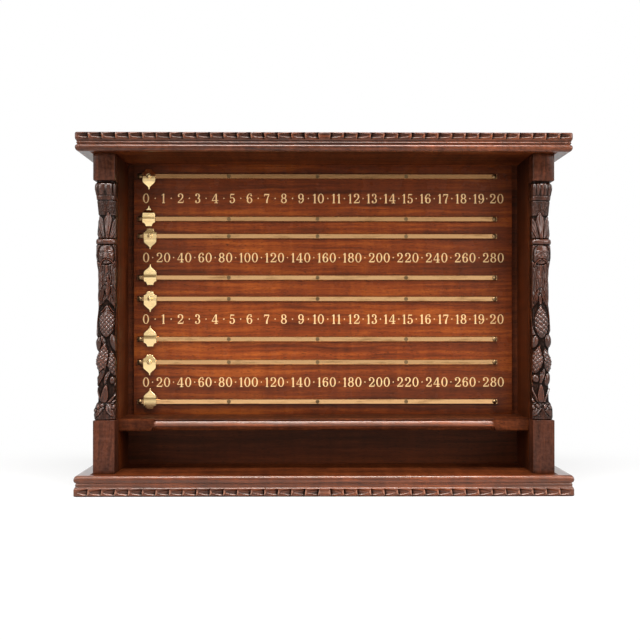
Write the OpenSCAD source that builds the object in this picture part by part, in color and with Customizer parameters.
// Snooker scoreboard: a carved mahogany case, eight brass rails and eight sliding pointers.
// X runs to the right, Y to the back and Z up. The origin is under the middle of the base board.

/* [Case] */
// Width of the base board
board_w = 915; // [880:5:960]
// Depth of the base board, front to back
board_d = 175; // [170:1:200]
// Height over all
total_h = 666.5; // [660:0.5:700]
// Thickness of the base board
base_t = 38.5; // [36:0.5:42]
// Thickness of the top board
top_t = 35; // [32:0.5:40]
// How far the top board is cut back from the base board at the front and at each end
top_inset = 1.5; // [0:0.5:4]
// How far the boards stand out past the posts at the front
front_overhang = 24.5; // [20:0.5:30]
// How far the boards stand out past the posts at each end
end_overhang = 30.5; // [24:0.5:34]
// Thickness of a side panel
side_t = 20; // [18:1:24]
// Thickness of the back board
back_t = 10; // [8:1:12]
// Width of the rabbet that the back board sits in
rabbet_w = 8; // [6:1:10]
// Height of the shelf's underside
shelf_z = 114; // [110:1:118]
// Thickness of the shelf
shelf_t = 22.5; // [18:0.5:26]
// How deep the shelf is housed in each side panel
housing = 6; // [4:1:8]
// Length of the moulded middle of the shelf's front edge
shelf_mould_w = 634; // [560:2:680]

/* [Boards' mouldings] */
// Height of the carved band, as a share of the board's thickness
band_share = 0.41; // [0.36:0.01:0.44]
// Where the groove is deepest, as a share of the board's thickness from its sharp edge
groove_share = 0.54; // [0.5:0.01:0.6]
// Height of the half round nosing, as a share of the board's thickness
nosing_share = 0.33; // [0.3:0.01:0.36]
// How far the groove between band and nosing is cut in
groove_in = 2.6; // [2:0.1:4]
// Length of one carved scoop
scoop_pitch = 24.75; // [24:0.05:24.8]
// Radius of a scoop's hollow at its shallow end
scoop_r0 = 1.8; // [1.4:0.1:3]
// Radius of a scoop's hollow at its deep end
scoop_r1 = 6.6; // [5:0.1:7]
// How steeply a scoop's axis leans, in degrees
scoop_lean = 6; // [0:0.5:8]
// Number of scoops on each side of the plain middle block
scoops_each_way = 18; // [16:1:18]
// Number of scoops on each end of a board
scoops_end = 6; // [4:1:6]

/* [Posts] */
// Width of a post's square blocks
post_w = 40; // [38:1:44]
// Depth of a post, front to back
post_d = 37.5; // [34:0.5:42]
// Height of the plain upper block
upper_block_h = 50.5; // [40:0.5:60]
// Height of the plain lower block
lower_block_h = 98.5; // [90:0.5:100]
// Rings of facets up the carved shaft
shaft_rings = 84; // [60:4:110]
// Facets round the carved shaft
shaft_sides = 28; // [20:2:32]

/* [Score panel] */
// Width of the score panel
panel_w = 749; // [740:1:754]
// Thickness of the score panel
panel_t = 8; // [6:1:9]
// Heights of the four rails that stand above a row of numbers
upper_rails = [607.5, 489, 365, 240]; // [150:0.5:612]
// Heights of the four rails that stand below a row of numbers
lower_rails = [523, 407, 285.5, 162]; // [158:0.5:612]

/* [Rails] */
// Left end of each rail
rail_x0 = -367; // [-370:0.5:-364]
// Right end of each rail
rail_x1 = 344; // [340:0.5:350]
// Width of a rail's face
rail_h = 10.5; // [9:0.5:12]
// How far a rail's face stands off the panel
rail_stand = 5.3; // [4.8:0.1:5.4]
// Thickness of a rail's face
rail_face_t = 2.5; // [2:0.1:2.6]
// Width of the rib that carries a rail's face
rail_rib = 5; // [4:0.5:5]
// Bevel along a rail's two front edges
rail_bevel = 1.2; // [0.6:0.1:1.4]
// Screws along each rail
rail_screws_each = 5; // [3:1:6]
// Radius of a screw's head
screw_head_r = 4.5; // [4:0.25:4.5]
// Radius of a screw's shank
screw_r = 1.4; // [1:0.1:1.6]
// How far the round heads at a rail's ends stand out as stops
stop_h = 3.2; // [2.5:0.1:4]

/* [Pointers] */
// Width of a pointer
pointer_w = 25; // [23:0.5:26]
// Length from the rail's middle to the pointer's tip
tip_reach = 26; // [22:0.5:27]
// Length of the tapering tip
tip_len = 16.5; // [13:0.5:17]
// Length from the rail's middle to the pointer's tail
tail_reach = 14.5; // [13:0.5:15]
// Width of the tail between its two hollow corners
tail_w = 12.8; // [10:0.2:14]
// Thickness of the pointer's brass
pointer_t = 1; // [0.8:0.1:1.2]
// Where the middle of a parked pointer is
park_x = -342; // [-342:0.5:-338]
// Play between the clip and the rail
clip_play = 0.35; // [0.3:0.05:0.5]
// Length of the clip along the rail
clip_len = 16; // [14:1:20]
// Radius of the knob on a pointer that hangs from its rail
knob_r = 5; // [4:0.25:5.5]

/* [Fastenings] */
// Radius of the dowels that join the case
dowel_r = 4; // [3:0.5:5]
// Length of a dowel
dowel_len = 32; // [24:2:40]
// Distance from the middle to each hanging plate
hanger_x = 300; // [240:10:340]
// Height of the hanging plates' entry holes
hanger_z = 556; // [500:1:560]
// Radius of a hanging plate's entry hole
hanger_r = 5; // [4.5:0.5:6]

/* [Hidden] */
$fn = 48;
rails_total = 8;
knobbed = [1, 3, 5, 7];

eps = 0.01;
mahogany = "#5c2211";
dark_mahogany = "#3a150c";
red_mahogany = "#7a2f14";
brass = "#c9a35c";
pale_brass = "#e6cf93";
steel = "#9a9488";
beech = "#c8a676";

front_y = -board_d / 2;
back_y = board_d / 2;
top_z = total_h - top_t;
inner_x = board_w / 2 - end_overhang - post_w;
post_y0 = front_y + front_overhang;
post_y1 = post_y0 + post_d;
back_front_y = back_y - back_t;
panel_y = back_front_y - panel_t;
shelf_top = shelf_z + shelf_t;
rail_pitch = (rail_x1 - rail_x0 - 2 * screw_head_r - 1) / (rail_screws_each - 1);
rail_z = [for (i = [1:rails_total]) i % 2 == 1 ? upper_rails[(i - 1) / 2] : lower_rails[i / 2 - 1]];
park_shift = [-2.5, -2.9, 0, 0, 0, 0, -1, 0];
end_scoop_first = 5;
end_scoop_pitch = (board_d - end_scoop_first) / (scoops_end + 0.5);
scoop_block = 21;
scoop_land = 3.4;
scoop_start = 9.4;
scoop_out = 1.1;
scoop_stop = 0.5;
nosing_sink = 1.2;
bead_in = 1.4;
bead_h = 0.9;
band_ease = 1.6;
dowel_out = 3;
dowel_gap = 0.5;
side_dowels_y = [5, 55];
back_screw_len = 24;
back_screw_head_r = 3.4;
back_screws_z = [90, 220, 350, 480, 600];
back_screws_x = [100, 270];
back_slot_turn = 35;
hanger_w = 24;
hanger_t = 2;
hanger_low = 20;
hanger_h = 58;
hanger_slot = 15;
hanger_neck_r = 2.25;
hanger_room = 2;
hanger_screws_z = [-13, 31];
hanger_screw_r = 3.2;
hanger_screw_len = 8;
rail_screw_head_r = 3.9;
rail_screw_bite = 12;
stop_dome_r = 5.5;
screw_fit = 0.05;
shelf_quirk = [2, 2.5, 2];
shelf_cove_r = 12;

// A pointer's inside stands ridge off the panel over the rail and falls away to each end.
ridge = 7.2;
fall = 1.2 / 7;
crease_half = 7;
tip_off = 1.6;
tail_off = 4.4;
tip_steps = 12;
nib_share = 0.1;
nib_width = 0.06;
hollow_r = 6.5;
hollow_up = 0.8;
knob_shank_r = 1.45;
knob_neck_r = 3;
knob_sink = 0.45;

function screw_x(k) = rail_x0 + screw_head_r + 0.5 + k * rail_pitch;
function smooth(t) = t * t * (3 - 2 * t);
function lookup_smooth(z, table, i = 0) =
    z <= table[0][0] ? table[0][1] :
    i >= len(table) - 1 ? table[len(table) - 1][1] :
    z <= table[i + 1][0] ?
        table[i][1] + (table[i + 1][1] - table[i][1])
        * smooth((z - table[i][0]) / (table[i + 1][0] - table[i][0])) :
    lookup_smooth(z, table, i + 1);

// A board's edge in section: x runs outward, y runs up, the nosing is at the bottom, the band at the top.
module edge_section(depth, t) {
    nosing_h = t * nosing_share;
    band_end = t - t * band_share;
    translate([-depth, 0]) square([depth - nosing_h / 2, nosing_h]);
    translate([-nosing_h / 2, nosing_h / 2]) circle(r = nosing_h / 2);
    polygon([
        [-depth, nosing_h - nosing_sink], [-groove_in, nosing_h - nosing_sink],
        [-bead_in, nosing_h - nosing_sink + bead_h], [-groove_in, t - t * groove_share],
        [-band_ease / 3, band_end], [0, band_end + band_ease], [0, t], [-depth, t]
    ]);
}

// A board with the moulding along its front and both ends, and a straight back edge.
module moulded_board(w, y0, y1, t) {
    d = y1 - y0;
    intersection() {
        translate([-w / 2, y1, 0]) rotate([90, 0, 90]) linear_extrude(w)
            mirror([1, 0]) translate([d, 0]) edge_section(d, t);
        translate([0, y1, 0]) rotate([90, 0, 0]) linear_extrude(d) union() {
            translate([w / 2, 0]) edge_section(w / 2 + eps, t);
            mirror([1, 0]) translate([w / 2, 0]) edge_section(w / 2 + eps, t);
        }
    }
}

// One scoop along +X in a face that looks to -Y: a hollow that widens until it stops dead.
// The origin is on the board's sharp edge, and size scales the hollow with the board's thickness.
module scoop(pitch, size) {
    translate([scoop_land, -scoop_out * size, -scoop_start * size]) rotate([0, 90 - scoop_lean, 0])
        cylinder(r1 = scoop_r0 * size, r2 = scoop_r1 * size, h = pitch - scoop_land - scoop_stop);
}

module front_scoops(w, size) {
    run = w / 2 - scoop_block / 2 - scoops_each_way * scoop_pitch;
    for (side = [-1, 1]) {
        for (k = [0:scoops_each_way - 1]) {
            scale([side, 1, 1]) translate([run - w / 2 + k * scoop_pitch, 0, 0]) scoop(scoop_pitch, size);
        }
    }
}

module end_scoops(w, y0, size) {
    for (side = [-1, 1]) {
        for (k = [0:scoops_end - 1]) {
            scale([side, 1, 1]) translate([w / 2, y0 + end_scoop_first + k * end_scoop_pitch, 0])
                rotate([0, 0, 90]) scoop(end_scoop_pitch, size);
        }
    }
}

// Places of the dowels: one in each post end and two in each side panel end.
module at_dowels() {
    for (side = [-1, 1]) {
        for (z = [base_t, top_z]) {
            translate([side * (inner_x + post_w / 2 + dowel_out), (post_y0 + post_y1) / 2, z]) children();
            for (y = side_dowels_y) {
                translate([side * (inner_x + side_t / 2 + dowel_out - 1), y, z]) children();
            }
        }
    }
}

module dowel(gap = 0) {
    translate([0, 0, -dowel_len / 2 - gap]) cylinder(r = dowel_r + gap / 10, h = dowel_len + 2 * gap);
}

module back_rabbet(gap = 0) {
    w = 2 * (inner_x + rabbet_w) + 2 * gap;
    h = top_z - base_t + 2 * rabbet_w + 2 * gap;
    translate([-w / 2, back_front_y - gap, base_t - rabbet_w - gap]) cube([w, back_t + 2, h]);
}

// A moulded board with its carved band, drawn nosing down.
module carved_board(w, y0, t) {
    difference() {
        moulded_board(w, y0, back_y, t);
        translate([0, y0, t]) front_scoops(w, t / top_t);
        translate([0, 0, t]) end_scoops(w, y0, t / top_t);
    }
}

// The base board's edge is the top board's turned upside down.
module base_board() {
    color(mahogany) difference() {
        translate([0, 0, base_t]) mirror([0, 0, 1]) carved_board(board_w, front_y, base_t);
        at_dowels() dowel(dowel_gap);
        back_rabbet();
        at_back_screws() back_pilot();
    }
}

module top_board() {
    color(mahogany) difference() {
        translate([0, 0, top_z]) carved_board(board_w - 2 * top_inset, front_y + top_inset, top_t);
        at_dowels() dowel(dowel_gap);
        back_rabbet();
        at_back_screws() back_pilot();
    }
}

module side(way) {
    color(dark_mahogany) difference() {
        scale([way, 1, 1]) translate([inner_x, post_y1, base_t])
            cube([side_t, back_y - post_y1, top_z - base_t]);
        at_dowels() dowel(dowel_gap);
        back_rabbet();
        translate([-inner_x - housing, post_y1 - 1, shelf_z])
            cube([2 * (inner_x + housing), back_front_y - post_y1 + 2, shelf_t]);
        at_back_screws() back_pilot();
    }
}

// How far the carved shaft reaches outward from the blocks' middle: height above the foot, reach.
shaft_h = total_h - top_t - upper_block_h - base_t - lower_block_h;
shaft_reach = [
    [0, 18.5], [4, 19.4], [20, 19.2], [34, 14], [60, 13.2], [88, 13.4], [108, 17.2], [127, 13.2],
    [145, 15.6], [165, 14.8], [188, 13.5], [205, 12], [278, 11.8], [304, 16.2], [329, 15.2],
    [352, 13.6], [378, 11.6], [404, 14.2], [429, 18.1], [440, 16.8], [444.5, 16.4]
];

function bump(x, z, x0, z0, rx, rz) =
    let (q = pow((x - x0) / rx, 2) + pow((z - z0) / rz, 2)) q < 1 ? sqrt(1 - q) : 0;

// How far the carving stands forward of the shaft's plain round front: head, beard, hair and pods.
function relief(x, z) = max(
    4 * bump(x, z, 0, 315, 11, 28),
    3 * bump(x, z, 0, 275, 9, 36),
    3 * bump(x, z, 0, 355, 8, 30),
    3 * bump(x, z, 0, 195, 12, 42),
    3 * bump(x, z, 8, 104, 9, 27),
    3 * bump(x, z, -8, 104, 9, 27),
    2 * bump(x, z, 0, 436, 16, 10)
);

// The shaft is kept just inside the blocks' faces. Its inner side runs straight up beside the case,
// and its back lies flat before the side panel.
face_gap = 0.6;
shaft_back = 6;
shaft_depth_share = 0.92;
shaft_roundness = 0.8;
function clamp(v, low, high) = min(max(v, low), high);
function shaft_ring(z) =
    let (
        outer = lookup_smooth(z, shaft_reach),
        inner = post_w / 2 - face_gap,
        w = (outer + inner) / 2,
        d = w * shaft_depth_share
    )
    [for (k = [0:shaft_sides - 1])
        let (
            a = 360 * k / shaft_sides,
            x = w * sign(cos(a)) * pow(abs(cos(a)), shaft_roundness),
            y = d * sign(sin(a)) * pow(abs(sin(a)), shaft_roundness),
            front = y < 0 ? relief(x, z) * pow(abs(sin(a)), 0.5) : 0
        )
        [
            x + (outer - inner) / 2,
            clamp(y < 0 ? y - front : y + shaft_back, face_gap - post_d / 2, post_d / 2 - face_gap),
            z
        ]
    ];

module shaft() {
    rings = [for (i = [0:shaft_rings]) shaft_ring(shaft_h * i / shaft_rings)];
    points = [for (ring = rings) for (p = ring) p];
    n = shaft_sides;
    sides = [
        for (i = [0:shaft_rings - 1]) for (k = [0:n - 1])
            let (a = i * n + k, b = i * n + (k + 1) % n)
            each [[a, b + n, b], [a, a + n, b + n]]
    ];
    foot = [for (k = [1:n - 2]) [0, k, k + 1]];
    crown = [for (k = [1:n - 2]) [shaft_rings * n, shaft_rings * n + k + 1, shaft_rings * n + k]];
    polyhedron(points = points, faces = concat(sides, foot, crown));
}

module post(way) {
    color(red_mahogany) difference() {
        scale([way, 1, 1]) translate([inner_x + post_w / 2, (post_y0 + post_y1) / 2, base_t]) {
            translate([-post_w / 2, -post_d / 2, 0]) cube([post_w, post_d, lower_block_h]);
            translate([-post_w / 2, -post_d / 2, top_z - base_t - upper_block_h])
                cube([post_w, post_d, upper_block_h]);
            translate([0, 0, lower_block_h]) shaft();
        }
        at_dowels() dowel(dowel_gap);
    }
}

module back_board() {
    w = 2 * (inner_x + rabbet_w);
    color(dark_mahogany) difference() {
        translate([-w / 2, back_front_y, base_t - rabbet_w])
            cube([w, back_t, top_z - base_t + 2 * rabbet_w]);
        at_back_screws() screw_hole();
        at_hangers() {
            hanger_plate(0.1);
            for (z = [0, hanger_slot]) {
                translate([0, 0, z]) rotate([90, 0, 0]) cylinder(r = hanger_r + hanger_room, h = back_t + 1);
            }
            translate([-hanger_r - hanger_room, -back_t - 1, 0])
                cube([2 * (hanger_r + hanger_room), back_t + 1, hanger_slot]);
        }
        at_rail_screws([0:rail_screws_each - 1]) pilot();
        at_hanger_screws() rotate([90, 0, 0]) cylinder(r = screw_r + screw_fit, h = hanger_screw_len);
    }
}

// Screws round the back board's edge, pointing forward into the rabbets.
module at_back_screws() {
    x = inner_x + rabbet_w / 2;
    for (side = [-1, 1]) {
        for (z = back_screws_z) {
            translate([side * x, back_y, z]) children();
        }
        for (z = [base_t - rabbet_w / 2, top_z + rabbet_w / 2]) {
            for (px = back_screws_x) {
                translate([side * px, back_y, z]) children();
            }
        }
    }
}

// A countersunk screw with its head level with the face at y = 0, driven towards -Y.
module countersunk(head_r, shank_r, long, gap = 0) {
    depth = head_r - shank_r;
    rotate([90, 0, 0]) {
        translate([0, 0, -gap]) cylinder(r1 = head_r + gap, r2 = shank_r + gap, h = depth);
        translate([0, 0, -gap]) cylinder(r = shank_r + gap, h = long + gap);
    }
}

module screw_slot(head_r) {
    translate([-head_r - 1, -0.8, -0.45]) cube([2 * head_r + 2, 2, 0.9]);
}

module screw_hole() {
    countersunk(back_screw_head_r, screw_r, back_t + 1, screw_fit);
}

module back_pilot() {
    rotate([90, 0, 0]) cylinder(r = screw_r + screw_fit, h = back_screw_len + 1);
}

module pilot() {
    rotate([-90, 0, 0]) translate([0, 0, -1]) cylinder(r = screw_r + screw_fit, h = rail_screw_bite + 1.5);
}

module back_screws() {
    color(steel) at_back_screws() difference() {
        countersunk(back_screw_head_r, screw_r, back_screw_len);
        rotate([0, back_slot_turn, 0]) screw_slot(back_screw_head_r);
    }
}

module score_panel() {
    color(red_mahogany) difference() {
        translate([-panel_w / 2, panel_y, shelf_top]) cube([panel_w, panel_t, top_z - shelf_top]);
        at_rail_screws([0:rail_screws_each - 1]) pilot();
    }
}

// The shelf's front edge is moulded between two plain square ends.
module shelf() {
    depth = back_front_y - post_y1;
    color(mahogany) difference() {
        translate([-inner_x - housing, post_y1, shelf_z]) cube([2 * (inner_x + housing), depth, shelf_t]);
        translate([-shelf_mould_w / 2, post_y1, shelf_z]) {
            translate([0, -1, shelf_t - shelf_quirk[0] - shelf_quirk[1]])
                cube([shelf_mould_w, shelf_quirk[2] + 1, shelf_quirk[1]]);
            difference() {
                translate([0, -1, -1]) cube([shelf_mould_w, shelf_cove_r + 1, shelf_cove_r + 1]);
                translate([-1, shelf_cove_r, shelf_cove_r]) rotate([0, 90, 0])
                    cylinder(r = shelf_cove_r, h = shelf_mould_w + 2);
            }
        }
    }
}

module case_dowels() {
    color(beech) at_dowels() dowel();
}

// Places of the hanging plates' entry holes, on the back face.
module at_hangers() {
    for (side = [-1, 1]) {
        translate([side * hanger_x, back_y, hanger_z]) children();
    }
}

module at_hanger_screws() {
    at_hangers() for (z = hanger_screws_z) {
        translate([0, 0, z]) children();
    }
}

module hanger_plate(gap = 0) {
    translate([-hanger_w / 2 - gap, -hanger_t, -hanger_low - gap])
        cube([hanger_w + 2 * gap, hanger_t + 10 * gap, hanger_h + 2 * gap]);
}

module hanging_plates() {
    color(brass) difference() {
        at_hangers() difference() {
            hanger_plate();
            rotate([90, 0, 0]) translate([0, 0, -1]) cylinder(r = hanger_r, h = 6);
            translate([-hanger_neck_r, -4, 0]) cube([2 * hanger_neck_r, 6, hanger_slot]);
            translate([0, 0, hanger_slot]) rotate([90, 0, 0])
                translate([0, 0, -1]) cylinder(r = hanger_neck_r, h = 6);
        }
        at_hanger_screws() countersunk(hanger_screw_r, screw_r, 4, screw_fit);
    }
}

module hanging_plate_screws() {
    color(steel) at_hanger_screws() difference() {
        countersunk(hanger_screw_r, screw_r, hanger_screw_len);
        screw_slot(hanger_screw_r);
    }
}

// Places of the screws with the given numbers along every rail, on the panel's face.
module at_rail_screws(numbers) {
    for (z = rail_z) {
        for (k = numbers) {
            translate([screw_x(k), panel_y, z]) children();
        }
    }
}

// A rail is a flat face with bevelled edges on a narrower rib, so that a clip can hook behind it.
module rail(i) {
    face = rail_stand;
    back = rail_stand - rail_face_t;
    h = rail_h / 2;
    rib = rail_rib / 2;
    color(brass) translate([0, panel_y, rail_z[i - 1]]) difference() {
        translate([rail_x0, 0, 0]) rotate([90, 0, 90]) linear_extrude(rail_x1 - rail_x0) polygon([
            [0, -rib], [-back, -rib], [-back, -h], [rail_bevel - face, -h], [-face, rail_bevel - h],
            [-face, h - rail_bevel], [rail_bevel - face, h], [-back, h], [-back, rib], [0, rib]
        ]);
        for (k = [1:rail_screws_each - 2]) {
            translate([screw_x(k), -face, 0]) mirror([0, 1, 0])
                countersunk(rail_screw_head_r, screw_r, face + 1, screw_fit);
        }
        for (k = [0, rail_screws_each - 1]) {
            translate([screw_x(k), 1, 0]) rotate([90, 0, 0]) cylinder(r = screw_r + screw_fit, h = face + 2);
        }
    }
}

module stop_screw() {
    translate([0, -rail_stand, 0]) rotate([90, 0, 0]) intersection() {
        cylinder(r = screw_head_r, h = stop_h);
        translate([0, 0, stop_h - stop_dome_r]) sphere(r = stop_dome_r);
    }
    translate([0, rail_screw_bite, 0]) rotate([90, 0, 0])
        cylinder(r = screw_r, h = rail_screw_bite + rail_stand + eps);
}

module rail_screws() {
    color(brass) {
        at_rail_screws([1:rail_screws_each - 2]) difference() {
            translate([0, -rail_stand, 0]) mirror([0, 1, 0])
                countersunk(rail_screw_head_r, screw_r, rail_stand + rail_screw_bite);
            translate([0, -rail_stand, 0]) mirror([0, 1, 0]) screw_slot(rail_screw_head_r);
        }
        at_rail_screws([0, rail_screws_each - 1]) difference() {
            stop_screw();
            translate([0, -rail_stand - stop_h, 0]) mirror([0, 1, 0]) screw_slot(screw_head_r);
        }
    }
}

function inside(z) = ridge - fall * abs(z);

// Draws a pointer's piece at its place: the odd ones point down and the even ones point up.
module at_pointer(i) {
    translate([park_x + park_shift[i - 1], panel_y, rail_z[i - 1]])
        scale([1, 1, i % 2 == 1 ? 1 : -1]) children();
}

// The tip draws in from full width to a narrow nib.
function tip_half(t) =
    pointer_w / 2 * (nib_width + (1 - nib_width) * smooth(max(t - nib_share, 0) / (1 - nib_share)));
tip_right = [for (k = [0:tip_steps]) [tip_half(k / tip_steps), -tip_reach + tip_len * k / tip_steps]];

module pointer_outline() {
    difference() {
        polygon(concat(
            tip_right,
            [[pointer_w / 2, tail_reach], [-pointer_w / 2, tail_reach]],
            [for (k = [tip_steps:-1:0]) [-tip_right[k][0], tip_right[k][1]]]
        ));
        for (side = [-1, 1]) {
            translate([side * (tail_w / 2 + hollow_r), tail_reach - hollow_up]) circle(r = hollow_r);
        }
    }
}

// The sheet in section, creased over the rail: y is minus the distance off the panel.
module creased_section(z0, z1, front, back) {
    low = [z0, tip_off];
    high = [z1, tail_off];
    bends = [low, [-crease_half, inside(crease_half)], [0, ridge], [crease_half, inside(crease_half)], high];
    polygon(concat(
        [for (p = bends) [-p[1] - front, p[0]]],
        [for (k = [4:-1:0]) [-bends[k][1] - back, bends[k][0]]]
    ));
}

module pointer(i) {
    color(pale_brass) at_pointer(i) difference() {
        intersection() {
            rotate([90, 0, 0]) linear_extrude(12) pointer_outline();
            translate([-pointer_w, 0, 0]) rotate([90, 0, 90]) linear_extrude(2 * pointer_w)
                creased_section(-tip_reach - 1, tail_reach + 1, pointer_t, 0);
        }
        if (i % 2 == 1) {
            rotate([90, 0, 0]) cylinder(r = knob_shank_r + screw_fit, h = 12);
            translate([0, knob_sink - ridge - pointer_t, 0]) rotate([90, 0, 0])
                cylinder(r = knob_neck_r + 0.1, h = 4);
        }
    }
}

// The clip lies against the sheet's inside and hooks behind the rail's face above and below.
module pointer_clip(i) {
    leg = rail_h / 2 + clip_play;
    leg_t = 0.8;
    strap = 0.5;
    lip_back = rail_stand - rail_face_t - clip_play;
    lip_t = 1.1;
    lip_end = rail_rib / 2 + 0.6;
    upper = [
        [-ridge + strap, 0], [-inside(leg) + strap, leg], [-lip_back, leg], [-lip_back, lip_end],
        [lip_t - lip_back, lip_end], [lip_t - lip_back, leg + leg_t], [-inside(leg + leg_t), leg + leg_t]
    ];
    color(brass) at_pointer(i) difference() {
        translate([-clip_len / 2, 0, 0]) rotate([90, 0, 90]) linear_extrude(clip_len) polygon(concat(
            upper, [[-ridge, 0]], [for (k = [6:-1:1]) [upper[k][0], -upper[k][1]]]
        ));
        if (i % 2 == 1) {
            rotate([90, 0, 0]) cylinder(r = knob_shank_r + screw_fit, h = 12);
        }
    }
}

// A bowed leaf that bears on the rail, with its two ends turned over the clip's edges.
module pointer_spring(i) {
    leaf = 0.3;
    bow_r = 120;
    mid = rail_stand + 0.35;
    half = clip_len / 2 + 0.1;
    color(pale_brass) at_pointer(i) translate([0, 0, -2.5]) linear_extrude(5) {
        intersection() {
            translate([0, -mid - bow_r]) difference() {
                circle(r = bow_r, $fn = 180);
                circle(r = bow_r - leaf, $fn = 180);
            }
            translate([-half - 0.4, -ridge]) square([2 * half + 0.8, ridge]);
        }
        for (side = [-1, 1]) {
            translate([side * (half + 0.2) - 0.2, -6.5]) square([0.4, 0.7]);
        }
    }
}

module pointer_knob(i) {
    seat = ridge + pointer_t - knob_sink;
    color(pale_brass) at_pointer(i) rotate([90, 0, 0]) rotate_extrude() polygon(concat(
        [[0, ridge - 0.7], [knob_shank_r, ridge - 0.7], [knob_shank_r, seat], [knob_neck_r, seat],
         [knob_neck_r, seat + 0.9], [knob_r, seat + 1.3], [knob_r, seat + 2.1]],
        [for (k = [1:6]) [knob_r * cos(15 * k), seat + 2.1 + 1.4 * sin(15 * k)]]
    ));
}

base_board();
top_board();
side(-1);  // left_side
side(1);  // right_side
post(-1);  // left_post
post(1);  // right_post
back_board();
score_panel();
shelf();
case_dowels();
back_screws();
hanging_plates();
hanging_plate_screws();
rail_screws();
for (i = [1:rails_total]) {
    rail(i);
    pointer(i);
    pointer_clip(i);
    pointer_spring(i);
}
for (i = knobbed) {
    pointer_knob(i);
}
